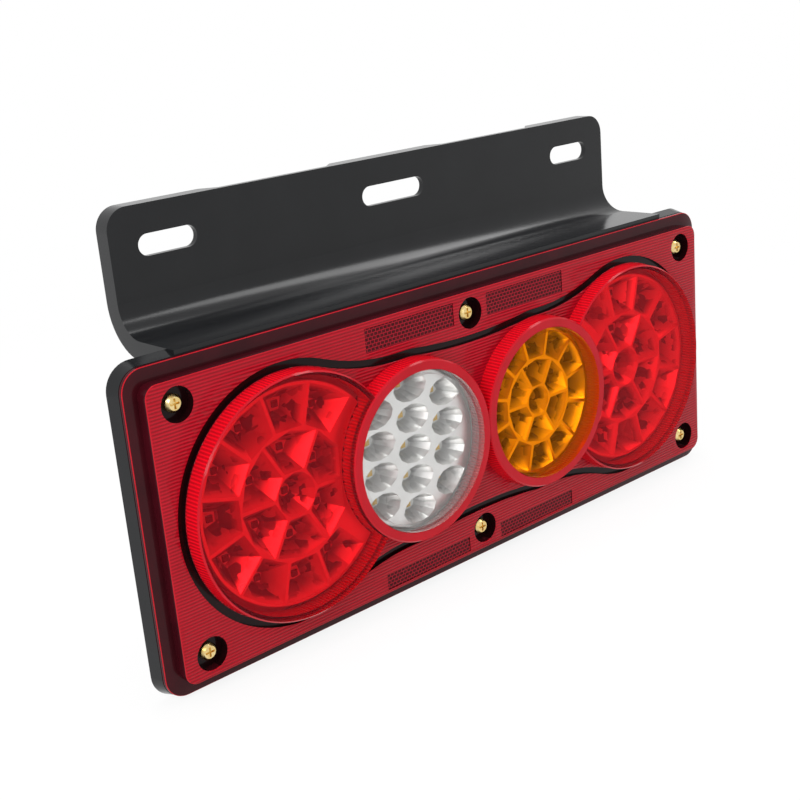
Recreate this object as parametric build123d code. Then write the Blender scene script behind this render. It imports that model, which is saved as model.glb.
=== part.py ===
from build123d import *
import math
import os

# Rear lamp on a moulded bracket. Millimetres, +Z up, the lamp looks along -Y.
# Depths are measured back from the face of the red panel, and heights from the lamp's middle.
# At the end every piece moves to the frame of the bracket's slots.

# Red lens: a raised panel inside a flat border flange
PANEL_LENGTH = 339.0
PANEL_HEIGHT = 124.5
PANEL_CORNER = 5.5
LENS_WALL = 2.2
BORDER = 6.2
BORDER_DEPTH = 5.8
BORDER_THICK = 2.0
LENS_CORNER = 9.6

# Pods of the lens: two wide tail pods, and between them two rings that hold the inserts
TAIL_INSET = 62.4
TAIL_RIM_R = 52.5
TAIL_FRONT = -7.6
POD_DRAFT = 3.0
RING_X = 40.7
RING_RIM_R = 41.0
RING_FRONT = -8.2
RING_HOLE_R = 36.6
POD_BEVEL = 0.7

# Smooth moat that runs around the four pods as one outline with long hollow blends
MOAT_TAIL_R = 56.6
MOAT_RING_R = 45.0
MOAT_WIDTH = 3.4
MOAT_DEPTH = 1.6
SIDE_BLEND = 110.0
MIDDLE_BLEND = 280.0

# Reflex patches in the panel, above and below the rings
PATCH_LENGTH = 52.0
PATCH_X = 36.5
PATCH_TOP_GAP = 2.95
PATCH_TOP_HEIGHT = 10.6
PATCH_LOW_GAP = 1.45
PATCH_LOW_HEIGHT = 7.2
PATCH_DEPTH = 0.3

# Clear and amber inserts, pushed in from behind up to a collar
INSERT_GAP = 0.3
INSERT_FRONT = -9.1
INSERT_WALL = 2.0
COLLAR_WIDTH = 2.0
COLLAR_THICK = 1.4
SKIRT_BACK = -1.4

# Screws that hold the lens, sunk in round pockets
SCREW_INSET_X = 13.2
SCREW_INSET_Z = 9.95
POCKET_R = 7.2
POCKET_FLOOR = 4.3
POCKET_WALL = 1.8
FLOOR_THICK = 2.0
HEAD_R = 3.7
HEAD_HEIGHT = 2.6
HEAD_BEVEL = 1.0
SHANK_R = 1.5
SCREW_LENGTH = 8.2
SCREW_GAP = 0.1
CROSS_WIDTH = 0.9
CROSS_LENGTH = 4.2
CROSS_DEPTH = 1.3

# Housing tray behind the lens
HOUSING_LIP = 1.8
HOUSING_EDGE = 0.2
HOUSING_WALL = 4.6
HOUSING_BACK = 14.0
BACK_WALL = 2.5
BOSS_R = 4.8
GASKET_WIDTH = 1.8
GASKET_THICK = 1.2
GASKET_EDGE = 0.7
GASKET_GAP = 0.1

# Bracket: a ledge behind the housing that bends up to a slotted flange, with a returned rim
BRACKET_WIDTH = 300.0
BRACKET_TOP = 121.6
BRACKET_FRONT = 45.0
BEND_R = 13.1
PLATE = 2.8
RIM_DEPTH = 8.4
RIM_WALL = 2.6
TOP_CORNER = 9.5
LEDGE_STEP = 0.4
RIM_MIDDLE = 36.0
RIM_OUTER = 94.0
RIM_TAPER = 6.5
SLOT_X = 123.0
SLOT_Z = 104.9
SLOT_WIDTH = 9.0
SLOT_LENGTH = 28.0
MIDDLE_SLOT_LENGTH = 38.0

# Circuit board and what stands on it
BOARD_INSET_X = 9.5
BOARD_INSET_Z = 10.25
BOARD_THICK = 1.6
BOARD_FRONT = 8.0
BOARD_GAP = 2.4
BOARD_SCREW_INSET = 12.0
MIDDLE_SCREW_INSET = 16.0
BOARD_HEAD_R = 2.7
BOARD_HEAD_HEIGHT = 1.7
BOARD_SHANK_R = 1.2
BOARD_SCREW_LENGTH = 4.8
POST_R = 3.6
LED_SIZE = 2.8
LED_HEIGHT = 1.0
RESISTOR_LENGTH = 3.2
RESISTOR_WIDTH = 1.6
RESISTOR_HEIGHT = 0.6
RESISTOR_PITCH = 7.0
RESISTOR_X = 14.0
DIODE_LENGTH = 5.0
DIODE_WIDTH = 2.7
DIODE_HEIGHT = 2.2
PARTS_INSET = 3.8
HEADER_X = -64.0
HEADER_LENGTH = 12.0
HEADER_WIDTH = 6.0
HEADER_HEIGHT = 4.0

# Reflector trays: tapered cups that run back to the board
REFLECTOR_FRONT = -1.0
REFLECTOR_WALL = 1.1
TAIL_REFLECTOR_R = 47.4
TAIL_REFLECTOR_GAP = 0.5
RING_REFLECTOR_R = 35.6
RIDGE = 1.5
THROAT_ROOM = 2.8
CELL_MIN_SHARE = 0.45
INNER_RING = 0.22
OUTER_RING = 0.6
OVAL_LENGTH = 19.4
OVAL_HEIGHT = 13.0
OVAL_PITCH_X = 20.6
OVAL_PITCH_Z = 14.2

# Cable grommet in the housing's back
GROMMET_X = -64.0
GROMMET_INSET = 12.05
GROMMET_R = 5.6
GROMMET_LIP = 1.4
GROMMET_LIP_THICK = 1.2
GROMMET_NOSE = 3.0
GROMMET_BORE_R = 3.0
GROMMET_GAP = 0.1

TAIL_X = PANEL_LENGTH / 2 - TAIL_INSET
SCREW_X = PANEL_LENGTH / 2 - SCREW_INSET_X
SCREW_Z = PANEL_HEIGHT / 2 - SCREW_INSET_Z
PATCH_TOP_Z = PANEL_HEIGHT / 2 - PATCH_TOP_GAP - PATCH_TOP_HEIGHT / 2
PATCH_LOW_Z = PATCH_LOW_GAP + PATCH_LOW_HEIGHT / 2 - PANEL_HEIGHT / 2
BOARD_LENGTH = PANEL_LENGTH - 2 * BOARD_INSET_X
BOARD_HEIGHT = PANEL_HEIGHT - 2 * BOARD_INSET_Z
BOARD_SCREW_X = BOARD_LENGTH / 2 - BOARD_SCREW_INSET
BOARD_SCREW_Z = BOARD_HEIGHT / 2 - BOARD_SCREW_INSET
MIDDLE_SCREW_Z = BOARD_HEIGHT / 2 - MIDDLE_SCREW_INSET
PARTS_Z = BOARD_HEIGHT / 2 - PARTS_INSET
LENS_LENGTH = PANEL_LENGTH + 2 * BORDER
LENS_HEIGHT = PANEL_HEIGHT + 2 * BORDER
SEAT = BORDER_DEPTH + BORDER_THICK
HOUSING_LENGTH = LENS_LENGTH + 2 * HOUSING_LIP
HOUSING_HEIGHT = LENS_HEIGHT + 2 * HOUSING_LIP
HOUSING_CORNER = LENS_CORNER + HOUSING_LIP
GROMMET_Z = GROMMET_INSET - HOUSING_HEIGHT / 2
INNER_BACK = HOUSING_BACK - BACK_WALL
LEDGE_Z = HOUSING_HEIGHT / 2 + LEDGE_STEP
BOARD_BACK = BOARD_FRONT + BOARD_THICK
POCKET_BACK = POCKET_FLOOR + FLOOR_THICK
RING_BORE_R = RING_RIM_R - LENS_WALL
LENS_SCREWS = [(x, z) for x in (-SCREW_X, 0.0, SCREW_X) for z in (-SCREW_Z, SCREW_Z)]
BOARD_SCREWS = [(x, z) for x in (-BOARD_SCREW_X, BOARD_SCREW_X) for z in (-BOARD_SCREW_Z, BOARD_SCREW_Z)]
BOARD_SCREWS += [(0.0, -MIDDLE_SCREW_Z), (0.0, MIDDLE_SCREW_Z)]


def at_depth(outline, depth):
    """An outline drawn in X and Z, set at a depth."""
    return Plane.XZ.offset(-depth) * outline


def slab(outline, front, back):
    """A solid with this outline between two depths."""
    return extrude(at_depth(outline, back), back - front)


def disc(x, z, radius, front, back):
    return slab(Pos(x, z) * Circle(radius), front, back)


def rounded(length, height, corner):
    return RectangleRounded(length, height, corner)


def arc(centre, start, end):
    """The short arc around a centre from one point to another."""
    middle = Vector((start[0] + end[0]) / 2 - centre[0], (start[1] + end[1]) / 2 - centre[1])
    radius = math.hypot(start[0] - centre[0], start[1] - centre[1])
    middle = middle.normalized() * radius
    return ThreePointArc(start, (centre[0] + middle.X, centre[1] + middle.Y), end)


def toward(centre, target, distance):
    """The point at a distance from one centre on the line to another."""
    span = math.hypot(target[0] - centre[0], target[1] - centre[1])
    share = distance / span
    return (centre[0] + share * (target[0] - centre[0]), centre[1] + share * (target[1] - centre[1]))


def blend_centre(first, first_r, second, second_r, blend):
    """Where the centre of a hollow blend lies that touches two rounds on the X axis from above."""
    span = second[0] - first[0]
    near = first_r + blend
    far = second_r + blend
    along = (span * span + near * near - far * far) / (2 * span)
    return (first[0] + along, math.sqrt(near * near - along * along))


def moat_outline(inset):
    """The outline around all four pods: rounds joined by long hollow arcs, moved in by an inset."""
    tail = (-TAIL_X, 0.0)
    ring = (-RING_X, 0.0)
    side = blend_centre(tail, MOAT_TAIL_R, ring, MOAT_RING_R, SIDE_BLEND)
    middle = blend_centre(ring, MOAT_RING_R, (RING_X, 0.0), MOAT_RING_R, MIDDLE_BLEND)
    tail_r = MOAT_TAIL_R - inset
    ring_r = MOAT_RING_R - inset
    a = toward(tail, side, tail_r)
    b = toward(ring, side, ring_r)
    c = toward(ring, middle, ring_r)
    edges = []
    for turn in (1, -1):
        flip = lambda p: (turn * p[0], turn * p[1])
        mirror = lambda p: (-turn * p[0], turn * p[1])
        edges.append(arc(flip(side), flip(a), flip(b)))
        edges.append(arc(flip(ring), flip(b), flip(c)))
        edges.append(arc(flip(middle), flip(c), mirror(c)))
        edges.append(arc(mirror(ring), mirror(c), mirror(b)))
        edges.append(arc(mirror(side), mirror(b), mirror(a)))
        end = (-turn * a[0], -turn * a[1])
        edges.append(ThreePointArc(mirror(a), (turn * (TAIL_X + tail_r), 0.0), end))
    return make_face(edges)


def turned(x, z, profile):
    """A piece turned about an axis along the depth, from a profile of radii and depths."""
    return Pos(x, 0, z) * revolve(make_face(Polyline(*profile, close=True)), Axis.Y)


def pod(x, radius, front):
    """A drafted round that stands on the panel, with a bevelled front edge."""
    foot = radius + (LENS_WALL - front) * math.tan(math.radians(POD_DRAFT))
    return turned(x, 0, [
        (0, front), (radius - POD_BEVEL, front), (radius, front + POD_BEVEL),
        (foot, LENS_WALL), (0, LENS_WALL)])


def red_lens():
    """Panel, border, pods, moat and screw pockets, moulded as one shell."""
    panel = rounded(PANEL_LENGTH, PANEL_HEIGHT, PANEL_CORNER)
    inner = rounded(PANEL_LENGTH - 2 * LENS_WALL, PANEL_HEIGHT - 2 * LENS_WALL, PANEL_CORNER - LENS_WALL)
    shell = slab(rounded(LENS_LENGTH, LENS_HEIGHT, LENS_CORNER), BORDER_DEPTH, SEAT)
    shell += slab(panel, 0, SEAT)
    shell -= slab(inner, LENS_WALL, SEAT)
    band = moat_outline(-LENS_WALL / 2) - moat_outline(MOAT_WIDTH + LENS_WALL / 2)
    shell += slab(band, LENS_WALL, MOAT_DEPTH + LENS_WALL)
    shell -= slab(moat_outline(0) - moat_outline(MOAT_WIDTH), 0, MOAT_DEPTH)
    cups = [disc(x, z, POCKET_R + POCKET_WALL, LENS_WALL / 2, POCKET_BACK) for x, z in LENS_SCREWS]
    shell += [cup & slab(panel, 0, SEAT) for cup in cups]
    shell += [pod(side * TAIL_X, TAIL_RIM_R, TAIL_FRONT) for side in (-1, 1)]
    hollows = []
    for side in (-1, 1):
        hollow = Pos(side * TAIL_X, 0) * Circle(TAIL_RIM_R - LENS_WALL)
        hollow -= Pos(side * RING_X, 0) * Circle(RING_RIM_R)
        hollows.append(slab(hollow, TAIL_FRONT + LENS_WALL, LENS_WALL))
    shell -= hollows
    shell += [pod(side * RING_X, RING_RIM_R, RING_FRONT) for side in (-1, 1)]
    cuts = []
    for x in (-RING_X, RING_X):
        cuts.append(disc(x, 0, RING_BORE_R, RING_FRONT + LENS_WALL, SEAT))
        cuts.append(disc(x, 0, RING_HOLE_R, RING_FRONT - POD_BEVEL, SEAT))
    for x, z in LENS_SCREWS:
        cuts.append(disc(x, z, POCKET_R, 0, POCKET_FLOOR))
        cuts.append(disc(x, z, SHANK_R + 4 * SCREW_GAP, 0, POCKET_BACK))
    for x in (-PATCH_X, PATCH_X):
        top = Rectangle(PATCH_LENGTH, PATCH_TOP_HEIGHT)
        low = Rectangle(PATCH_LENGTH, PATCH_LOW_HEIGHT)
        cuts.append(slab(Pos(x, PATCH_TOP_Z) * top, 0, PATCH_DEPTH))
        cuts.append(slab(Pos(x, PATCH_LOW_Z) * low, 0, PATCH_DEPTH))
    return shell - cuts


def insert_lens(x):
    """A clear cup: flat front, straight skirt, and the collar that stops behind the ring."""
    outer = RING_HOLE_R - INSERT_GAP
    inner = outer - INSERT_WALL
    collar = outer + COLLAR_WIDTH
    seat = RING_FRONT + LENS_WALL
    return turned(x, 0, [
        (0, INSERT_FRONT), (outer - POD_BEVEL, INSERT_FRONT), (outer, INSERT_FRONT + POD_BEVEL),
        (outer, seat), (collar, seat), (collar, seat + COLLAR_THICK), (outer, seat + COLLAR_THICK),
        (outer, SKIRT_BACK), (inner, SKIRT_BACK), (inner, INSERT_FRONT + INSERT_WALL),
        (0, INSERT_FRONT + INSERT_WALL)])


def bracket_profile(start, near, far, top):
    """The bracket's section in Y and Z between two distances behind its front face."""
    y = BRACKET_FRONT - BEND_R
    z = LEDGE_Z + BEND_R
    lean = math.sqrt(0.5)
    path = [Line((start, LEDGE_Z - near), (y, LEDGE_Z - near))]
    path.append(ThreePointArc(
        (y, LEDGE_Z - near),
        (y + (BEND_R + near) * lean, z - (BEND_R + near) * lean),
        (BRACKET_FRONT + near, z)))
    path.append(Polyline((BRACKET_FRONT + near, z), (BRACKET_FRONT + near, top),
                         (BRACKET_FRONT + far, top), (BRACKET_FRONT + far, z)))
    path.append(ThreePointArc(
        (BRACKET_FRONT + far, z),
        (y + (BEND_R + far) * lean, z - (BEND_R + far) * lean),
        (y, LEDGE_Z - far)))
    path.append(Polyline((y, LEDGE_Z - far), (start, LEDGE_Z - far), (start, LEDGE_Z - near)))
    return Plane.YZ * make_face(path)


def top_corners(body, radius):
    """Rounds the two upper corners of a bracket body."""
    return fillet(body.edges().filter_by(Axis.Y).group_by(Axis.Z)[-1], radius)


def bracket():
    """Ledge and flange, hollow behind, with the returned rim left open along parts of the top."""
    body = extrude(bracket_profile(INNER_BACK, 0, RIM_DEPTH, BRACKET_TOP), BRACKET_WIDTH / 2, both=True)
    body = top_corners(body, TOP_CORNER)
    pocket = extrude(
        bracket_profile(HOUSING_BACK, PLATE, 2 * RIM_DEPTH, BRACKET_TOP - RIM_WALL),
        BRACKET_WIDTH / 2 - RIM_WALL, both=True)
    body -= top_corners(pocket, TOP_CORNER - RIM_WALL)
    near = BRACKET_FRONT + PLATE
    far = BRACKET_FRONT + RIM_DEPTH
    gap = Polygon((RIM_OUTER, near), (RIM_OUTER + RIM_TAPER, far), (RIM_MIDDLE - RIM_TAPER, far),
                  (RIM_MIDDLE, near), align=None)
    cut = extrude(Pos(0, 0, BRACKET_TOP - 2 * RIM_WALL) * gap, 3 * RIM_WALL)
    cuts = [cut, mirror(cut, about=Plane.YZ)]
    for x, length in ((-SLOT_X, SLOT_LENGTH), (0, MIDDLE_SLOT_LENGTH), (SLOT_X, SLOT_LENGTH)):
        cuts.append(slab(Pos(x, SLOT_Z) * SlotOverall(length, SLOT_WIDTH), BRACKET_FRONT, near))
    return body - cuts


def gasket_ring(play):
    """The outline of the seal in the housing's rim, made wider by a play on each side."""
    length = LENS_LENGTH - 2 * GASKET_EDGE
    height = LENS_HEIGHT - 2 * GASKET_EDGE
    corner = LENS_CORNER - GASKET_EDGE
    inner = 2 * GASKET_WIDTH
    outer = rounded(length + 2 * play, height + 2 * play, corner + play)
    return outer - rounded(length - inner - 2 * play, height - inner - 2 * play, corner - GASKET_WIDTH - play)


def base_housing():
    """The black moulding: tray, screw bosses, board posts and bracket in one piece."""
    edge = rounded(LENS_LENGTH + 2 * HOUSING_EDGE, LENS_HEIGHT + 2 * HOUSING_EDGE, LENS_CORNER + HOUSING_EDGE)
    draft = math.degrees(math.atan2(HOUSING_LIP - HOUSING_EDGE, HOUSING_BACK - SEAT))
    tray = extrude(at_depth(edge, SEAT), SEAT - HOUSING_BACK, taper=-draft)
    tray -= slab(rounded(HOUSING_LENGTH - 2 * HOUSING_WALL, HOUSING_HEIGHT - 2 * HOUSING_WALL,
                         HOUSING_CORNER - HOUSING_WALL), SEAT, INNER_BACK)
    tray -= slab(gasket_ring(GASKET_GAP), SEAT, SEAT + GASKET_THICK)
    ledge = Pos(0, (SEAT + HOUSING_BACK) / 2, LEDGE_Z - PLATE / 2)
    added = [bracket(), ledge * Box(BRACKET_WIDTH, HOUSING_BACK - SEAT, PLATE)]
    holes = [disc(GROMMET_X, GROMMET_Z, GROMMET_R + GROMMET_GAP, 0, HOUSING_BACK)]
    for x, z in LENS_SCREWS:
        added.append(disc(x, z, BOSS_R, POCKET_BACK, INNER_BACK + BACK_WALL / 2))
        end = POCKET_FLOOR + SCREW_LENGTH + 2 * SCREW_GAP
        holes.append(disc(x, z, SHANK_R + SCREW_GAP, POCKET_BACK, end))
    for x, z in BOARD_SCREWS:
        added.append(disc(x, z, POST_R, BOARD_BACK, INNER_BACK + BACK_WALL / 2))
        end = BOARD_FRONT + BOARD_SCREW_LENGTH + 2 * SCREW_GAP
        holes.append(disc(x, z, BOARD_SHANK_R + SCREW_GAP, BOARD_BACK, end))
    return tray + added - holes


def lens_gasket():
    return slab(gasket_ring(0), SEAT, SEAT + GASKET_THICK)


def screw(x, z, seat, head_r, head_height, shank_r, length):
    """A pan head screw with a cross recess, its head standing in front of the seat."""
    top = seat - head_height
    share = head_r / HEAD_R
    bevel = HEAD_BEVEL * share
    body = turned(x, z, [
        (0, top), (head_r - bevel, top), (head_r, top + bevel), (head_r, seat),
        (shank_r, seat), (shank_r, seat + length), (0, seat + length)])
    for turn in (0, 90):
        bar = Rot(0, 0, turn) * Rectangle(CROSS_LENGTH * share, CROSS_WIDTH * share)
        body -= slab(Pos(x, z) * bar, top, top + CROSS_DEPTH * share)
    return body


def lens_screws():
    return Compound([
        screw(x, z, POCKET_FLOOR, HEAD_R, HEAD_HEIGHT, SHANK_R, SCREW_LENGTH).solid()
        for x, z in LENS_SCREWS])


def board_screws():
    return Compound([
        screw(x, z, BOARD_FRONT, BOARD_HEAD_R, BOARD_HEAD_HEIGHT, BOARD_SHANK_R,
              BOARD_SCREW_LENGTH).solid()
        for x, z in BOARD_SCREWS])


def led_board():
    """One board behind all four lamps, notched around the lens bosses."""
    outline = Rectangle(BOARD_LENGTH, BOARD_HEIGHT)
    for x, z in LENS_SCREWS:
        outline -= Pos(x, z) * Circle(BOSS_R + BOARD_GAP)
    for x, z in BOARD_SCREWS:
        outline -= Pos(x, z) * Circle(BOARD_SHANK_R + SCREW_GAP)
    return slab(outline, BOARD_FRONT, BOARD_BACK)


def wedge(inner, outer, start, end):
    """A cell of a ring pattern: the corners of a sector, drawn half a ridge inside its lines."""
    low = inner + RIDGE / 2
    high = outer - RIDGE / 2
    points = []
    middle = (low + high) / 2
    for radius, share in ((low, 1), (low, 0), (middle, 0), (high, 0), (high, 0.5), (high, 1), (middle, 1)):
        turn = math.asin(RIDGE / 2 / radius)
        angle = start + turn + share * (end - start - 2 * turn)
        points.append((radius * math.cos(angle), radius * math.sin(angle)))
    return points


def oval(x, z, length, height):
    """The corners of a twelve sided oval."""
    turns = [k * math.pi / 6 for k in range(12)]
    return [(x + length / 2 * math.cos(t), z + height / 2 * math.sin(t)) for t in turns]


def ring_cells(radius):
    """A round cell, six around it, and twelve outside whose ridges lie half a cell further round."""
    middle = 2 * INNER_RING * radius - RIDGE
    cells = [oval(0, 0, middle, middle)]
    for count, shift, inner, outer in ((6, 0.0, INNER_RING, OUTER_RING), (12, 0.5, OUTER_RING, 1.0)):
        step = 2 * math.pi / count
        starts = [(k - shift) * step for k in range(count)]
        cells += [wedge(inner * radius, outer * radius, start, start + step) for start in starts]
    return cells


def oval_cells():
    """Columns of four, five and four oval cups."""
    cells = []
    for column, count in ((-1, 4), (0, 5), (1, 4)):
        for row in range(count):
            z = (row - (count - 1) / 2) * OVAL_PITCH_Z
            cells.append(oval(column * OVAL_PITCH_X, z, OVAL_LENGTH, OVAL_HEIGHT))
    return cells


def area_and_centre(points):
    """The area of a flat polygon and its centre."""
    area = 0.0
    x = 0.0
    z = 0.0
    for (x0, z0), (x1, z1) in zip(points, points[1:] + points[:1]):
        cross = x0 * z1 - x1 * z0
        area += cross / 2
        x += (x0 + x1) * cross / 6
        z += (z0 + z1) * cross / 6
    return area, (x / area, z / area)


def fitted(cells, x, radius, bite_x, bite_r):
    """Cells moved to their tray, with corners kept inside its round and out of a bite at one side."""
    kept = []
    for cell in cells:
        points = []
        for px, pz in cell:
            point = (x + px, pz)
            if math.hypot(px, pz) > radius:
                point = toward((x, 0.0), point, radius)
            if math.hypot(point[0] - bite_x, point[1]) < bite_r:
                point = toward((bite_x, 0.0), point, bite_r)
            points.append(point)
        if area_and_centre(points)[0] > CELL_MIN_SHARE * area_and_centre(cell)[0]:
            kept.append(points)
    return kept


def funnel(points):
    """A cup with flat sides, from its cell at the tray's face to a throat around the chip."""
    x, z = area_and_centre(points)[1]
    least = min(max(p[k] for p in points) - min(p[k] for p in points) for k in (0, 1))
    share = (LED_SIZE + THROAT_ROOM) / least
    mouth = [Vector(px, REFLECTOR_FRONT, pz) for px, pz in points]
    throat = [Vector(x + share * (px - x), BOARD_FRONT, z + share * (pz - z)) for px, pz in points]
    faces = [Face(Wire.make_polygon(mouth)), Face(Wire.make_polygon(throat))]
    for k in range(len(points)):
        faces.append(Face(Wire.make_polygon([mouth[k - 1], mouth[k], throat[k], throat[k - 1]])))
    return Solid(Shell(faces))


def reflector(outline, cells):
    """A moulded tray that stands on the board, with a tapered cup for each chip."""
    return slab(outline, REFLECTOR_FRONT, BOARD_FRONT) - [funnel(cell) for cell in cells]


def tail_bite():
    """The radius around a ring's centre that a tail tray stays out of."""
    return RING_RIM_R + (LENS_WALL - RING_FRONT) * math.tan(math.radians(POD_DRAFT)) + TAIL_REFLECTOR_GAP


def leds(cells):
    """One chip at the throat of each cup."""
    places = [area_and_centre(cell)[1] for cell in cells]
    return blocks(places, LED_SIZE, LED_SIZE, LED_HEIGHT)


def blocks(places, length, width, height):
    """Small rectangular parts on the front of the board."""
    solids = []
    for x, z in places:
        solids.append(slab(Pos(x, z) * Rectangle(length, width), BOARD_FRONT - height, BOARD_FRONT).solid())
    return Compound(solids)


def cable_grommet():
    """A rubber bush snapped into the back wall, for the lamp's cable."""
    lip = GROMMET_R + GROMMET_LIP
    bush = disc(GROMMET_X, GROMMET_Z, lip, INNER_BACK - GROMMET_LIP_THICK, INNER_BACK)
    bush += disc(GROMMET_X, GROMMET_Z, GROMMET_R, INNER_BACK, HOUSING_BACK)
    bush += disc(GROMMET_X, GROMMET_Z, lip, HOUSING_BACK, HOUSING_BACK + GROMMET_NOSE)
    bore = disc(GROMMET_X, GROMMET_Z, GROMMET_BORE_R, 0, HOUSING_BACK + GROMMET_NOSE)
    return bush - bore


def part():
    """Every piece by its node name, in the lamp's own frame."""
    pieces = {
        "base_housing": base_housing(),
        "lens_gasket": lens_gasket(),
        "red_lens": red_lens(),
        "reverse_lens": insert_lens(-RING_X),
        "indicator_lens": insert_lens(RING_X),
        "lens_screws": lens_screws(),
        "led_board": led_board(),
        "board_screws": board_screws(),
        "cable_grommet": cable_grommet(),
    }
    for name, side in (("left_tail", -1), ("right_tail", 1)):
        outline = Pos(side * TAIL_X, 0) * Circle(TAIL_REFLECTOR_R) - Pos(side * RING_X, 0) * Circle(tail_bite())
        cells = fitted(ring_cells(TAIL_REFLECTOR_R), side * TAIL_X, TAIL_REFLECTOR_R - REFLECTOR_WALL,
                       side * RING_X, tail_bite() + REFLECTOR_WALL)
        pieces[name + "_reflector"] = reflector(outline, cells)
        pieces[name + "_leds"] = leds(cells)
    for name, x, cells in (("reverse", -RING_X, oval_cells()), ("indicator", RING_X, ring_cells(RING_REFLECTOR_R))):
        cells = fitted(cells, x, RING_REFLECTOR_R - REFLECTOR_WALL, 0.0, 0.0)
        pieces[name + "_reflector"] = reflector(Pos(x, 0) * Circle(RING_REFLECTOR_R), cells)
        pieces[name + "_leds"] = leds(cells)
    row = [(side * (RESISTOR_X + k * RESISTOR_PITCH), PARTS_Z) for side in (-1, 1) for k in range(4)]
    pieces["resistors"] = blocks(row, RESISTOR_LENGTH, RESISTOR_WIDTH, RESISTOR_HEIGHT)
    pair = [(x, -PARTS_Z) for x in (-RING_X, RING_X)]
    pieces["diodes"] = blocks(pair, DIODE_LENGTH, DIODE_WIDTH, DIODE_HEIGHT)
    pieces["lead_header"] = blocks([(HEADER_X, -PARTS_Z)], HEADER_LENGTH, HEADER_WIDTH, HEADER_HEIGHT)
    return pieces


os.makedirs("parts", exist_ok=True)
to_slots = Pos(0, -BRACKET_FRONT - PLATE, -SLOT_Z)
for node, shape in part().items():
    export_step(to_slots * shape, "parts/" + node + ".step")
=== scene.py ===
import math

import bmesh
import bpy
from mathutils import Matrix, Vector


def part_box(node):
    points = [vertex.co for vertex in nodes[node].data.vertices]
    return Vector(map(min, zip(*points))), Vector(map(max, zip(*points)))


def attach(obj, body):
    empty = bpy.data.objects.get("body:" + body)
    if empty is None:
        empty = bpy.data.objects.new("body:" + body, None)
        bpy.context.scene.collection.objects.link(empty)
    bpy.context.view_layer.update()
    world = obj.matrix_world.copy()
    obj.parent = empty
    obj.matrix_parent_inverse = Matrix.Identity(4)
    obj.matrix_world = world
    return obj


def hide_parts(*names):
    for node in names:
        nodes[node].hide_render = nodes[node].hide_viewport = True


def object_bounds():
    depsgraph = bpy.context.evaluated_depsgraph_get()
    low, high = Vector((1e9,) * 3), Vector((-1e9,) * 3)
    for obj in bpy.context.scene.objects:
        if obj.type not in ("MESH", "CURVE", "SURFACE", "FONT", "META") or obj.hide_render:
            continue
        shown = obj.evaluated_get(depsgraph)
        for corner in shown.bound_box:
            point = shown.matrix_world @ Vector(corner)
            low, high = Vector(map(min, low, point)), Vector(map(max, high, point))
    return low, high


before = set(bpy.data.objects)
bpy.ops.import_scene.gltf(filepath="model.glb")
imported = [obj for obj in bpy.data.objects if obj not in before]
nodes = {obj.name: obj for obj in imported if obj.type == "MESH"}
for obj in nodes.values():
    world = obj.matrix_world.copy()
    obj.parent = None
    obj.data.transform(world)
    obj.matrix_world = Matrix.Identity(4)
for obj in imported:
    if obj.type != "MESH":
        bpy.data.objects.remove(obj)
cad_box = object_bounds()

# Base housing with its bracket: one injection moulding in black polypropylene.
# The tray, the ledge and the slotted flange come out of one polished tool,
# so every face has the same satin gloss and the bends catch a line of light.
MM = 0.001
PLASTIC_IOR = 1.49


def colour(code):
    """An sRGB hex colour as the linear colour that a shader takes."""
    values = [int(code[k:k + 2], 16) / 255 for k in (1, 3, 5)]
    return [v / 12.92 if v <= 0.04045 else ((v + 0.055) / 1.055) ** 2.4 for v in values] + [1.0]


def add(tree, kind, links=None, **settings):
    """Adds a node, with its settings, and with a value or another node's output for its inputs."""
    node = tree.nodes.new("ShaderNode" + kind)
    for name, value in settings.items():
        setattr(node, name, value)
    for name, value in (links or {}).items():
        if isinstance(value, bpy.types.NodeSocket):
            tree.links.new(value, node.inputs[name])
        else:
            node.inputs[name].default_value = value
    return node


def start_material(name):
    """A new material with an empty node tree."""
    material = bpy.data.materials.new(name)
    material.use_nodes = True
    material.node_tree.nodes.clear()
    return material, material.node_tree


def mottle(tree, place, size, dark, light):
    """A soft change between two colours over patches of a size in metres."""
    patches = add(tree, "TexNoise", {"Vector": place, "Scale": 1 / size, "Detail": 3.0, "Roughness": 0.6})
    ramp = add(tree, "ValToRGB", {"Fac": patches.outputs["Fac"]})
    ramp.color_ramp.elements[0].position = 0.3
    ramp.color_ramp.elements[0].color = colour(dark)
    ramp.color_ramp.elements[1].position = 0.7
    ramp.color_ramp.elements[1].color = colour(light)
    return ramp.outputs["Color"]


def black_polypropylene():
    """Satin black with a faint grain: dark from the front, grey where a face turns to the light."""
    material, tree = start_material("black_polypropylene_moulded")
    place = add(tree, "TexCoord").outputs["Object"]
    grain_size = 0.9 * MM  # the real grain is about 0.1 mm, drawn coarser so that it shows
    grain = add(tree, "TexNoise", {"Vector": place, "Scale": 1 / grain_size, "Detail": 2.0})
    bump = add(tree, "Bump", {"Height": grain.outputs["Fac"], "Strength": 0.12, "Distance": 0.05 * MM})
    worn = add(tree, "TexNoise", {"Vector": place, "Scale": 1 / (40 * MM), "Detail": 4.0})
    rough = add(tree, "MapRange", {"Value": worn.outputs["Fac"], "To Min": 0.14, "To Max": 0.22})
    shader = add(tree, "BsdfPrincipled", {
        "Base Color": mottle(tree, place, 25 * MM, "#101113", "#151618"),
        "Roughness": rough.outputs["Result"], "Normal": bump.outputs["Normal"], "IOR": PLASTIC_IOR,
        "Specular IOR Level": 0.3})
    add(tree, "OutputMaterial", {"Surface": shader.outputs["BSDF"]})
    return material


def finish_node(name, material):
    """Gives a CAD node its material."""
    for holder in nodes[name].material_slots:
        holder.material = material


finish_node("base_housing", black_polypropylene())

# Seal between the housing and the lens: a cord of black foam rubber laid in a groove.
# The lens is screwed down onto it, and only a thin dull line of it can be seen.


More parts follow.
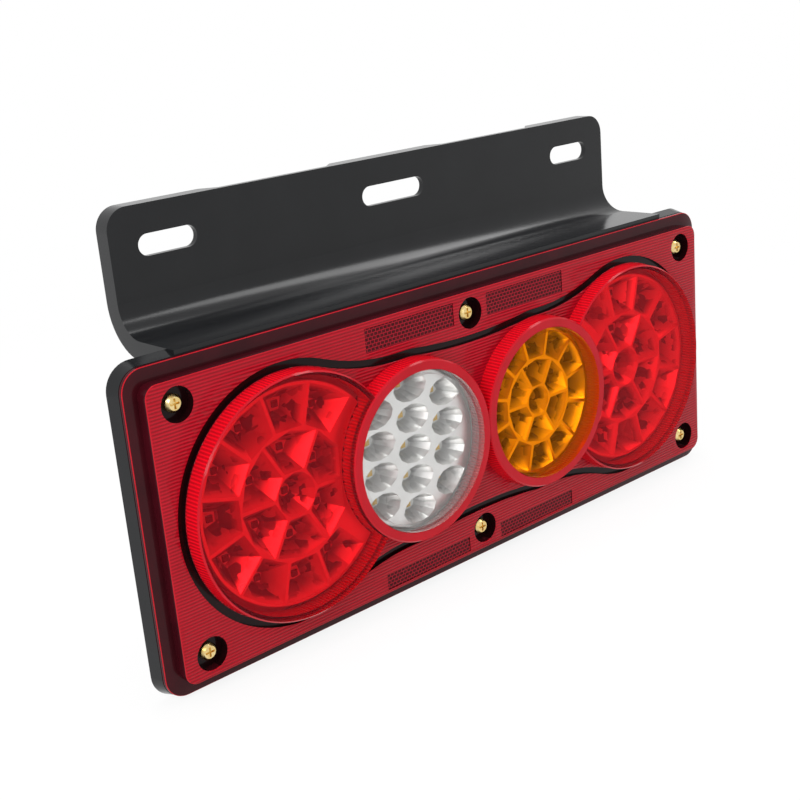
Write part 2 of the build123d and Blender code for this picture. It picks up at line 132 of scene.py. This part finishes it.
def foam_rubber():
    """Dull black with small open cells."""
    material, tree = start_material("black_foam_rubber_extruded")
    place = add(tree, "TexCoord").outputs["Object"]
    cell_size = 0.8 * MM  # the real cells are about 0.3 mm, drawn coarser so that they show
    cells = add(tree, "TexVoronoi", {"Vector": place, "Scale": 1 / cell_size})
    bump = add(tree, "Bump", {"Height": cells.outputs["Distance"], "Strength": 0.4, "Distance": 0.1 * MM})
    shader = add(tree, "BsdfPrincipled", {
        "Base Color": mottle(tree, place, 6 * MM, "#141414", "#1f1f20"),
        "Roughness": 0.85, "Normal": bump.outputs["Normal"]})
    add(tree, "OutputMaterial", {"Surface": shader.outputs["BSDF"]})
    return material


rubber = foam_rubber()
finish_node("lens_gasket", rubber)
finish_node("cable_grommet", rubber)

# Red lens: one moulding in red acrylic, screwed over the housing.
# The panel has fine level ribs, the pods have fluted walls, and the wide tail pods have clear fronts.
# A smooth moat runs around the pods, and four reflex patches with prism cells lie beside it.
# Sizes are in millimetres, and depths run back from the panel's face.
SEAT_DEPTH = 7.8
TAIL_X = 107.1
TAIL_R = 52.5
TAIL_FRONT = -7.6
RING_X = 40.7
RING_R = 41.0
WALL = 2.2
BORDER_DEPTH = 5.8
PATCH_DEPTH = 0.3
RIB_PITCH = 1.4
RIB_HEIGHT = 0.22
FLUTE_PITCH = 1.5
EDGE_BREAK = 0.3
EDGE_TURN = 50.0
NEAR = 0.06
LEVEL = 0.9
UPRIGHT = 0.2
INNER_X = 165.0
INNER_Z = 59.0
lens_low, lens_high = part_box("red_lens")
panel_y = lens_high.y - SEAT_DEPTH * MM
lens_z = (lens_low.z + lens_high.z) / 2


def in_lamp(point):
    """A point in millimetres across, behind the panel's face and above the lamp's middle."""
    return Vector((point.x / MM, (point.y - panel_y) / MM, (point.z - lens_z) / MM))


def merged_copy(node):
    """A bmesh with the shape of a CAD node and its loose triangles joined."""
    mesh = bmesh.new()
    mesh.from_mesh(nodes[node].data)
    bmesh.ops.remove_doubles(mesh, verts=mesh.verts, dist=0.001 * MM)
    return mesh


def new_piece(name, mesh, materials, sharp=30.0):
    """Turns a bmesh into a piece on the lamp, smooth apart from its sharp edges."""
    data = bpy.data.meshes.new(name)
    mesh.to_mesh(data)
    mesh.free()
    # The normals of the CAD faces would hide the cut shapes.
    if "custom_normal" in data.attributes:
        data.attributes.remove(data.attributes["custom_normal"])
    for material in materials:
        data.materials.append(material)
    data.shade_smooth()
    data.set_sharp_from_angle(angle=math.radians(sharp))
    piece = bpy.data.objects.new(name, data)
    bpy.context.scene.collection.objects.link(piece)
    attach(piece, "root")
    return piece


def red_shader(tree, base, normal, roughness):
    """Glossy red acrylic, whose gloss is held down because its deep colour takes in most of the light."""
    shader = add(tree, "BsdfPrincipled", {
        "Base Color": base, "Roughness": roughness, "Normal": normal, "IOR": PLASTIC_IOR,
        "Specular IOR Level": 0.15})
    add(tree, "OutputMaterial", {"Surface": shader.outputs["BSDF"]})


def red_acrylic_ribbed():
    """Bright red on the ribs, with painted shade in the grooves between them as a deeper red, so the panel
    shows level lines.
    """
    material, tree = start_material("red_acrylic_ribbed")
    place = add(tree, "TexCoord").outputs["Object"]
    ripple = add(tree, "TexNoise", {"Vector": place, "Scale": 1 / (5 * MM)})
    bump = add(tree, "Bump", {"Height": ripple.outputs["Fac"], "Strength": 0.05, "Distance": 0.2 * MM})
    height = add(tree, "SeparateXYZ", {"Vector": place}).outputs["Z"]
    step = 2 * math.pi / (RIB_PITCH * MM)
    turn = add(tree, "Math", {0: height, 1: step, 2: -lens_z * step}, operation="MULTIPLY_ADD")
    wave = add(tree, "Math", {0: turn.outputs["Value"]}, operation="COSINE")
    painted_groove_shade = add(tree, "MapRange", {"Value": wave.outputs["Value"], "From Min": -1.0, "From Max": 1.0})
    mixed = add(tree, "Mix", {"Factor": painted_groove_shade.outputs["Result"]}, data_type="RGBA")
    tree.links.new(mottle(tree, place, 18 * MM, "#ac0d20", "#b61226"), mixed.inputs["A"])
    # Painted shade: the grooves between the ribs take this deeper red.
    mixed.inputs["B"].default_value = colour("#860918")
    red_shader(tree, mixed.outputs["Result"], bump.outputs["Normal"], 0.2)
    return material


def red_acrylic_polished(name, dark, light):
    """Polished red in a given pair of colours: a dark pair is painted shade, the dark housing behind the
    clear red painted into the lens, and a light pair is the lit red.
    """
    material, tree = start_material(name)
    place = add(tree, "TexCoord").outputs["Object"]
    ripple = add(tree, "TexNoise", {"Vector": place, "Scale": 1 / (8 * MM)})
    bump = add(tree, "Bump", {"Height": ripple.outputs["Fac"], "Strength": 0.05, "Distance": 0.2 * MM})
    red_shader(tree, mottle(tree, place, 18 * MM, dark, light), bump.outputs["Normal"], 0.12)
    return material


def red_acrylic_fluted():
    """Red walls painted brighter than the panel for the light that shines through them, with fine upright
    flutes in the bump and painted streaks: lighter red on the flute crests, painted shade in the hollows.
    """
    material, tree = start_material("red_acrylic_fluted")
    along = add(tree, "SeparateXYZ", {"Vector": add(tree, "UVMap", uv_map="flutes").outputs["UV"]})
    turn = add(tree, "Math", {0: along.outputs["X"], 1: 2 * math.pi}, operation="MULTIPLY")
    wave = add(tree, "Math", {0: turn.outputs["Value"]}, operation="SINE")
    bump = add(tree, "Bump", {"Height": wave.outputs["Value"], "Strength": 0.8, "Distance": 0.2 * MM})
    painted_groove_shade = add(tree, "MapRange", {"Value": wave.outputs["Value"], "From Min": -1.0, "From Max": 1.0})
    mixed = add(tree, "Mix", {"Factor": painted_groove_shade.outputs["Result"]}, data_type="RGBA")
    # Painted highlight and shade: the lighter red goes on the flute crests, the darker red in the hollows.
    mixed.inputs["A"].default_value = colour("#b00a18")
    mixed.inputs["B"].default_value = colour("#e60e20")
    red_shader(tree, mixed.outputs["Result"], bump.outputs["Normal"], 0.2)
    return material


def clear_plastic(name, tint, dark, light, haze):
    """Tinted plastic that shows what lies behind it, with a little haze of its own colour and a gloss."""
    material, tree = start_material(name)
    place = add(tree, "TexCoord").outputs["Object"]
    ripple = add(tree, "TexNoise", {"Vector": place, "Scale": 1 / (12 * MM)})
    bump = add(tree, "Bump", {"Height": ripple.outputs["Fac"], "Strength": 0.04, "Distance": 0.2 * MM})
    body = add(tree, "BsdfPrincipled", {
        "Base Color": mottle(tree, place, 20 * MM, dark, light),
        "Roughness": 0.06, "Normal": bump.outputs["Normal"], "IOR": PLASTIC_IOR})
    through = add(tree, "BsdfTransparent", {"Color": colour(tint)})
    slant = add(tree, "LayerWeight", {"Normal": bump.outputs["Normal"]}).outputs["Facing"]
    edge = add(tree, "Math", {0: slant, 1: 4.0}, operation="POWER")
    share = add(tree, "MapRange", {"Value": edge.outputs["Value"], "To Min": haze, "To Max": 0.9})
    mixed = add(tree, "MixShader", {0: share.outputs["Result"], 1: through.outputs["BSDF"],
                                    2: body.outputs["BSDF"]})
    add(tree, "OutputMaterial", {"Surface": mixed.outputs["Shader"]})
    return material


def red_acrylic_reflex():
    """Dark red prism cells that sparkle where one of their faces meets the light."""
    material, tree = start_material("red_acrylic_reflex_cells")
    place = add(tree, "TexCoord").outputs["Object"]
    flat = add(tree, "SeparateXYZ", {"Vector": place})
    across = add(tree, "CombineXYZ", {"X": flat.outputs["X"], "Y": flat.outputs["Z"]})
    cells = add(tree, "TexBrick", {
        "Vector": across.outputs["Vector"], "Color1": colour("#3a060c"), "Color2": colour("#4c0a12"),
        "Mortar": colour("#981224"), "Scale": 1.0, "Mortar Size": 0.22 * MM, "Brick Width": 2.2 * MM,
        "Row Height": 1.6 * MM})
    bump = add(tree, "Bump", {"Height": cells.outputs["Fac"], "Strength": 0.6, "Distance": 0.4 * MM})
    shader = add(tree, "BsdfPrincipled", {
        "Base Color": cells.outputs["Color"], "Roughness": 0.2, "Normal": bump.outputs["Normal"],
        "Specular IOR Level": 0.1})
    add(tree, "OutputMaterial", {"Surface": shader.outputs["BSDF"]})
    return material


# The border and inner finishes are painted shade: the same red acrylic painted near black where the dark
# housing lies behind it. The bright finish is the lit red.
LENS_FINISHES = [red_acrylic_ribbed(),
                 red_acrylic_polished("red_acrylic_border_painted_shade", "#30070e", "#3c0912"),
                 red_acrylic_polished("red_acrylic_bright", "#aa0c1b", "#b61021"),
                 red_acrylic_fluted(),
                 clear_plastic("red_acrylic_clear", "#ff9aa0", "#dc2438", "#e62a3e", 0.1),
                 red_acrylic_reflex(),
                 red_acrylic_polished("red_acrylic_inner_painted_shade", "#170406", "#200609")]
RIBBED, BORDER, BRIGHT, FLUTED, CLEAR, REFLEX, INNER_SHADE = range(7)


def from_axis(point, x):
    """How far a point lies from the axis of a pod, on its own side of the lamp."""
    return math.hypot(abs(point.x) - x, point.z)


def lens_finish(face):
    """Which finish a face of the lens has, told from where it lies."""
    middle = in_lamp(face.calc_center_median())
    if abs(face.normal.y) > LEVEL:
        for depth in (TAIL_FRONT, TAIL_FRONT + WALL):
            if abs(middle.y - depth) < NEAR and from_axis(middle, TAIL_X) < TAIL_R:
                return CLEAR
        if face.normal.y < 0 and abs(middle.y) < NEAR:
            return RIBBED
        if abs(middle.y - PATCH_DEPTH) < NEAR:
            return REFLEX
    if middle.y < -NEAR:
        return FLUTED if abs(face.normal.y) < UPRIGHT else BRIGHT
    # Faces behind the panel take painted shade: near black inside the inner area, dark red on the border.
    return INNER_SHADE if abs(middle.x) < INNER_X and abs(middle.z) < INNER_Z else BORDER


def break_edges(mesh):
    """Breaks the outer edges of the panel and of the border, which catch a thin line of light on the bevel;
    the new faces also take the bright red, a painted highlight line along the dark border.
    """
    chosen = []
    for edge in mesh.edges:
        ends = [in_lamp(vert.co) for vert in edge.verts]
        outside = all(abs(end.x) > INNER_X or abs(end.z) > INNER_Z for end in ends)
        for depth in (0.0, BORDER_DEPTH):
            if outside and all(abs(end.y - depth) < NEAR for end in ends) and edge.is_convex:
                if edge.calc_face_angle(0.0) > math.radians(EDGE_TURN):
                    chosen.append(edge)
    made = bmesh.ops.bevel(mesh, geom=chosen, offset=EDGE_BREAK * MM, offset_type="OFFSET", segments=2,
                           profile=0.5, affect="EDGES", material=-1)
    # Painted highlight: the bevel faces take the bright red, which shows as a line of light against the dark
    # border.
    for face in made["faces"]:
        face.material_index = BRIGHT


def cut_ribs(mesh):
    """Cuts the panel's face into level strips and pushes every second cut forward."""
    reach = int((lens_high.z - lens_low.z) / (RIB_PITCH * MM))
    for step in range(-reach, reach + 1):
        panel = [face for face in mesh.faces if face.material_index == RIBBED]
        parts = set(panel)
        for face in panel:
            parts.update(face.edges)
            parts.update(face.verts)
        level = Vector((0, panel_y, lens_z + step * RIB_PITCH / 2 * MM))
        bmesh.ops.bisect_plane(mesh, geom=list(parts), plane_co=level, plane_no=Vector((0, 0, 1)))
    moved = {vert for face in mesh.faces if face.material_index == RIBBED for vert in face.verts}
    for vert in moved:
        if any(face.material_index != RIBBED for face in vert.link_faces):
            continue
        share = abs(((vert.co.z - lens_z) / (RIB_PITCH * MM)) % 1.0 - 0.5) * 2
        vert.co.y -= (1 - share) * RIB_HEIGHT * MM


def lay_flutes(mesh):
    """Writes a UV map that counts the flutes around each pod."""
    layer = mesh.loops.layers.uv.new("flutes")
    for face in mesh.faces:
        middle = in_lamp(face.calc_center_median())
        side = math.copysign(1, middle.x)
        on_tail = abs(from_axis(middle, TAIL_X) - TAIL_R) < abs(from_axis(middle, RING_X) - RING_R)
        x, radius = (TAIL_X, TAIL_R) if on_tail else (RING_X, RING_R)
        count = round(2 * math.pi * radius / FLUTE_PITCH)
        centre = math.atan2(middle.z, middle.x - side * x)
        for loop in face.loops:
            point = in_lamp(loop.vert.co)
            turn = math.atan2(point.z, point.x - side * x) - centre
            turn = (turn + math.pi) % (2 * math.pi) - math.pi
            loop[layer].uv = ((centre + turn) / (2 * math.pi) * count, point.y)


lens_mesh = merged_copy("red_lens")
for lens_face in lens_mesh.faces:
    lens_face.material_index = lens_finish(lens_face)
break_edges(lens_mesh)
cut_ribs(lens_mesh)
lay_flutes(lens_mesh)
lens = new_piece("red_lens_moulding", lens_mesh, LENS_FINISHES)
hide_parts("red_lens")

# Insert lenses: a clear and an amber cup in polycarbonate, pushed into the rings from behind.
# Their flat fronts stand a little proud of the rings, and their skirts are polished.
finish_node("reverse_lens", clear_plastic(
    "clear_polycarbonate_polished", "#fafafa", "#e4e4e2", "#ececea", 0.06))
finish_node("indicator_lens", clear_plastic(
    "amber_polycarbonate_polished", "#ffde78", "#ff9808", "#ffa412", 0.05))

# Reflector trays: ABS mouldings with a vacuum metallised face and a tapered cup for each chip.
# They stand on the board, and the flat ridges between the cups lie close behind the lens fronts.
CUP_DEPTH = 7.0
# Size of the painted reflection patches in the cups, in millimetres.
FACET_SIZE = 4.5


def metallised_abs(name, cup_shade_colour, facet_reflection_strength):
    """Bright silver on the ridges, with painted shade that turns it darker down in the cups.

    Painted reflections: light and dark patches in the cups stand for small flats that each show another part
    of the room.
    """
    material, tree = start_material(name)
    place = add(tree, "TexCoord").outputs["Object"]
    haze = add(tree, "TexNoise", {"Vector": place, "Scale": 1 / (9 * MM), "Detail": 3.0})
    rough = add(tree, "MapRange", {"Value": haze.outputs["Fac"], "To Min": 0.24, "To Max": 0.38})
    depth = add(tree, "SeparateXYZ", {"Vector": place}).outputs["Y"]
    # Painted shade: the silver darkens towards the cup colour with depth behind the panel's face.
    painted_cup_shade = add(tree, "MapRange", {"Value": depth, "From Min": panel_y, "From Max": panel_y + CUP_DEPTH * MM})
    mixed = add(tree, "Mix", {"Factor": painted_cup_shade.outputs["Result"]}, data_type="RGBA")
    tree.links.new(mottle(tree, place, 14 * MM, "#e8e8e6", "#f4f4f2"), mixed.inputs["A"])
    mixed.inputs["B"].default_value = colour(cup_shade_colour)
    # Painted reflections: cells of this pattern darken the silver in patches down in the cups.
    cut = add(tree, "TexVoronoi", {"Vector": place, "Scale": 1 / (FACET_SIZE * MM)}, distance="CHEBYCHEV")
    reflection_patches_painted = add(tree, "MapRange", {"Value": cut.outputs["Color"], "From Min": 0.3, "From Max": 0.55,
                                    "To Min": facet_reflection_strength, "To Max": 0.0})
    below = add(tree, "Math", {0: painted_cup_shade.outputs["Result"], 1: 2.5}, operation="MULTIPLY", use_clamp=True)
    amount = add(tree, "Math", {0: reflection_patches_painted.outputs["Result"], 1: below.outputs["Value"]}, operation="MULTIPLY")
    shaded = add(tree, "Mix", {"Factor": amount.outputs["Value"]}, data_type="RGBA")
    tree.links.new(mixed.outputs["Result"], shaded.inputs["A"])
    shaded.inputs["B"].default_value = colour("#202020")
    shader = add(tree, "BsdfPrincipled", {
        "Base Color": shaded.outputs["Result"], "Roughness": rough.outputs["Result"], "Metallic": 1.0})
    add(tree, "OutputMaterial", {"Surface": shader.outputs["BSDF"]})
    return material


# Both trays take painted shade in the cups; the faceted one also takes strong painted reflection patches.
finish_node("reverse_reflector", metallised_abs("metallised_abs_round_cups_painted_shade", "#c0c0c0", 0.3))
faceted_finish_painted_reflections = metallised_abs("metallised_abs_faceted_cups_painted_reflections", "#a0a0a0", 0.95)
for tray in ("left_tail", "right_tail", "indicator"):
    finish_node(tray + "_reflector", faceted_finish_painted_reflections)

# Light chips: small packages soldered to the board under each cup, white ones for the reversing lamp
# and dark ones for the red and amber lamps. Each has a flat window in front.


def chip_package(name, sides, dark, light):
    """A window on the front, yellow with phosphor or dark over a coloured chip, with moulded sides."""
    material, tree = start_material(name)
    place = add(tree, "TexCoord").outputs["Object"]
    facing = add(tree, "SeparateXYZ", {"Vector": add(tree, "NewGeometry").outputs["True Normal"]})
    front = add(tree, "Math", {0: facing.outputs["Y"], 1: -0.5}, operation="LESS_THAN")
    mixed = add(tree, "Mix", {"Factor": front.outputs["Value"]}, data_type="RGBA")
    mixed.inputs["A"].default_value = colour(sides)
    tree.links.new(mottle(tree, place, 1.2 * MM, dark, light), mixed.inputs["B"])
    shader = add(tree, "BsdfPrincipled", {"Base Color": mixed.outputs["Result"], "Roughness": 0.4})
    add(tree, "OutputMaterial", {"Surface": shader.outputs["BSDF"]})
    return material


finish_node("reverse_leds", chip_package("white_chip_package", "#e8e6e0", "#d8a020", "#f0c848"))
dark_chip = chip_package("dark_chip_package", "#3c3434", "#1c1414", "#2c2020")
for group in ("left_tail", "right_tail", "indicator"):
    finish_node(group + "_leds", dark_chip)

# Circuit board: glass fibre board with white solder mask, held on posts by small screws.
# Resistors, diodes and the header for the lead stand along its edges.


def solder_mask():
    """White lacquer over copper tracks, which show as faint raised lines."""
    material, tree = start_material("white_solder_mask_on_board")
    place = add(tree, "TexCoord").outputs["Object"]
    tracks = add(tree, "TexWave", {"Vector": place, "Scale": 1 / (40 * MM), "Distortion": 2.0})
    bump = add(tree, "Bump", {"Height": tracks.outputs["Fac"], "Strength": 0.2, "Distance": 0.05 * MM})
    shader = add(tree, "BsdfPrincipled", {
        "Base Color": mottle(tree, place, 10 * MM, "#d8dad6", "#e6e8e4"),
        "Roughness": 0.35, "Normal": bump.outputs["Normal"]})
    add(tree, "OutputMaterial", {"Surface": shader.outputs["BSDF"]})
    return material


def moulded_component():
    """Black epoxy with a dull grain."""
    material, tree = start_material("black_epoxy_moulded")
    place = add(tree, "TexCoord").outputs["Object"]
    shader = add(tree, "BsdfPrincipled", {
        "Base Color": mottle(tree, place, 1.5 * MM, "#1a1a1a", "#262626"), "Roughness": 0.55})
    add(tree, "OutputMaterial", {"Surface": shader.outputs["BSDF"]})
    return material


epoxy = moulded_component()
finish_node("led_board", solder_mask())
for small in ("resistors", "diodes", "lead_header"):
    finish_node(small, epoxy)

# Screws: pan heads with a cross recess, in steel with a yellow zinc finish.
# Six sit at the bottom of the lens pockets, and six smaller ones hold the board.


def yellow_zinc():
    """Pale gold metal with a faint drift in its tint, as passivated zinc has."""
    material, tree = start_material("steel_yellow_zinc_plated")
    place = add(tree, "TexCoord").outputs["Object"]
    haze = add(tree, "TexNoise", {"Vector": place, "Scale": 1 / (2 * MM), "Detail": 3.0})
    rough = add(tree, "MapRange", {"Value": haze.outputs["Fac"], "To Min": 0.2, "To Max": 0.34})
    shader = add(tree, "BsdfPrincipled", {
        "Base Color": mottle(tree, place, 2.5 * MM, "#d9b566", "#efd9a0"),
        "Roughness": rough.outputs["Result"], "Metallic": 1.0})
    add(tree, "OutputMaterial", {"Surface": shader.outputs["BSDF"]})
    return material


zinc = yellow_zinc()
finish_node("lens_screws", zinc)
finish_node("board_screws", zinc)

# Floor: a pale sheet under the lamp, which shows nearly white and keeps the lamp's shadow.
FLOOR_SIZE = 6.0


def pale_floor():
    """Matt white paper, lifted to white for the camera."""
    material, tree = start_material("white_paper_matt")
    place = add(tree, "TexCoord").outputs["Object"]
    paper = add(tree, "BsdfDiffuse", {"Color": mottle(tree, place, 0.3, "#f0f0f0", "#f4f4f4")})
    white = add(tree, "Emission", {"Color": colour("#ffffff"), "Strength": 1.0})
    path = add(tree, "LightPath")
    away = add(tree, "VectorMath", {0: place}, operation="LENGTH")
    lift = add(tree, "MapRange", {"Value": away.outputs["Value"], "From Min": 0.2, "From Max": 0.75,
                                  "To Min": 0.88, "To Max": 1.0})
    seen = add(tree, "Math", {0: path.outputs["Is Camera Ray"], 1: path.outputs["Is Glossy Ray"]},
               operation="MAXIMUM")
    share = add(tree, "Math", {0: seen.outputs["Value"], 1: lift.outputs["Result"]}, operation="MULTIPLY")
    mixed = add(tree, "MixShader", {0: share.outputs["Value"], 1: paper.outputs["BSDF"],
                                    2: white.outputs["Emission"]})
    add(tree, "OutputMaterial", {"Surface": mixed.outputs["Shader"]})
    return material


floor_mesh = bmesh.new()
bmesh.ops.create_grid(floor_mesh, x_segments=1, y_segments=1, size=FLOOR_SIZE / 2)
bmesh.ops.translate(floor_mesh, verts=floor_mesh.verts, vec=(0, 0, cad_box[0].z))
floor_data = bpy.data.meshes.new("floor")
floor_mesh.to_mesh(floor_data)
floor_mesh.free()
floor_data.materials.append(pale_floor())
floor = bpy.data.objects.new("floor", floor_data)
bpy.context.scene.collection.objects.link(floor)

# Studio: a white room, with a large soft lamp high on the left, a weaker one over the lamp and a strip
# on the right, which draws a thin line of light along the bend of the bracket.
ROOM_LIGHT = 0.55


def light_room():
    """White to the eye and in reflections, and a plain even light on everything else."""
    world = bpy.data.worlds.new("white_room")
    world.use_nodes = True
    tree = world.node_tree
    tree.nodes.clear()
    path = add(tree, "LightPath")
    seen = add(tree, "Math", {0: path.outputs["Is Camera Ray"], 1: path.outputs["Is Glossy Ray"]},
               operation="MAXIMUM")
    seen = add(tree, "Math", {0: seen.outputs["Value"], 1: path.outputs["Is Transmission Ray"]},
               operation="MAXIMUM")
    strength = add(tree, "MapRange", {"Value": seen.outputs["Value"], "To Min": ROOM_LIGHT, "To Max": 1.0})
    back = add(tree, "Background", {"Color": colour("#ffffff"), "Strength": strength.outputs["Result"]})
    add(tree, "OutputWorld", {"Surface": back.outputs["Background"]})
    bpy.context.scene.world = world


def soft_lamp(name, place, target, size, power):
    """A studio lamp with a wide and a high side, which points at a target."""
    data = bpy.data.lights.new(name, "AREA")
    data.shape = "RECTANGLE"
    data.size, data.size_y = size
    data.energy = power
    lamp = bpy.data.objects.new(name, data)
    lamp.location = place
    lamp.rotation_euler = (Vector(target) - Vector(place)).to_track_quat("-Z", "Y").to_euler()
    bpy.context.scene.collection.objects.link(lamp)


light_room()
lamp_middle = (0, panel_y, lens_z)
soft_lamp("key_left", (-1.1, -0.5, 0.7), lamp_middle, (0.8, 0.8), 14.0)
soft_lamp("top", (0.1, 0.1, 1.1), lamp_middle, (0.7, 0.7), 6.0)
soft_lamp("strip_right", (0.75, -0.3, 0.85), lamp_middle, (1.2, 0.22), 5.0)

# Camera: in front of the lamp's left end and above it, with a short telephoto lens.
CAMERA_PLACE = (-400.1, -457.0, 88.4)
CAMERA_TURN = (72.544, 4.809, -42.37)
view = bpy.data.cameras.new("view")
view.lens = 58.77
view.sensor_width = 36.0
camera = bpy.data.objects.new("view", view)
camera.location = Vector(CAMERA_PLACE) * MM
camera.rotation_euler = [math.radians(angle) for angle in CAMERA_TURN]
bpy.context.scene.collection.objects.link(camera)
bpy.context.scene.camera = camera
bpy.context.scene.view_settings.view_transform = "Standard"
